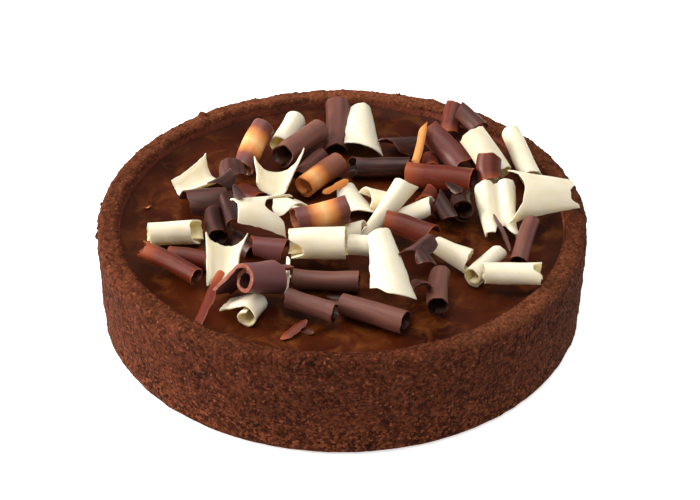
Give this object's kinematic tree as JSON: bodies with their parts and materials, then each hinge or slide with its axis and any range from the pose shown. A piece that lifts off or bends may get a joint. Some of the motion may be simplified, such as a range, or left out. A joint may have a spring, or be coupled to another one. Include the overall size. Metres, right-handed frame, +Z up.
{
  "type": "chocolate tart",
  "caption": "Round individual tart: straight-sided cocoa shortcrust shell, filled with ganache and topped with mixed chocolate curls.",
  "frame": {"origin": "centre of the flat underside of the crust", "axes": "+Z up out of the filling, +Y away from the viewer, towards the back of the tart, +X to the viewer's right"},
  "size_m": [0.0903, 0.09, 0.028],
  "materials": {
    "crust": "dry, crumbly cocoa shortcrust",
    "ganache": "smooth, softly shining set ganache",
    "white_chocolate": "satin, faintly streaked",
    "milk_chocolate": "satin, faintly streaked",
    "dark_chocolate": "satin, faintly streaked",
    "caramel_chocolate": "satin, caramel in the middle and milk chocolate at the ends"
  },
  "bodies": {
    "root": {"caramel_shaving_06": "caramel_chocolate", "caramel_shaving_09": "caramel_chocolate", "caramel_shaving_28": "caramel_chocolate", "caramel_shaving_36": "caramel_chocolate", "crust": "crust", "dark_shaving_01": "dark_chocolate", "dark_shaving_03": "dark_chocolate", "dark_shaving_05": "dark_chocolate", "dark_shaving_11": "dark_chocolate", "dark_shaving_15": "dark_chocolate", "dark_shaving_20": "dark_chocolate", "dark_shaving_21": "dark_chocolate", "dark_shaving_22": "dark_chocolate", "dark_shaving_23": "dark_chocolate", "dark_shaving_25": "dark_chocolate", "dark_shaving_31": "dark_chocolate", "dark_shaving_38": "dark_chocolate", "dark_shaving_42": "dark_chocolate", "dark_shaving_47": "dark_chocolate", "dark_shaving_48": "dark_chocolate", "dark_shaving_52": "dark_chocolate", "dark_shaving_53": "dark_chocolate", "dark_shaving_57": "dark_chocolate", "dark_shaving_58": "dark_chocolate", "ganache": "ganache", "milk_shaving_07": "milk_chocolate", "milk_shaving_08": "milk_chocolate", "milk_shaving_10": "milk_chocolate", "milk_shaving_17": "milk_chocolate", "milk_shaving_18": "milk_chocolate", "milk_shaving_19": "milk_chocolate", "milk_shaving_24": "milk_chocolate", "milk_shaving_32": "milk_chocolate", "milk_shaving_37": "milk_chocolate", "milk_shaving_39": "milk_chocolate", "milk_shaving_44": "milk_chocolate", "milk_shaving_56": "milk_chocolate", "white_shaving_02": "white_chocolate", "white_shaving_04": "white_chocolate", "white_shaving_12": "white_chocolate", "white_shaving_13": "white_chocolate", "white_shaving_14": "white_chocolate", "white_shaving_16": "white_chocolate", "white_shaving_26": "white_chocolate", "white_shaving_27": "white_chocolate", "white_shaving_29": "white_chocolate", "white_shaving_30": "white_chocolate", "white_shaving_33": "white_chocolate", "white_shaving_34": "white_chocolate", "white_shaving_35": "white_chocolate", "white_shaving_40": "white_chocolate", "white_shaving_41": "white_chocolate", "white_shaving_43": "white_chocolate", "white_shaving_45": "white_chocolate", "white_shaving_46": "white_chocolate", "white_shaving_49": "white_chocolate", "white_shaving_50": "white_chocolate", "white_shaving_51": "white_chocolate", "white_shaving_54": "white_chocolate", "white_shaving_55": "white_chocolate"}
  },
  "joints": []
}
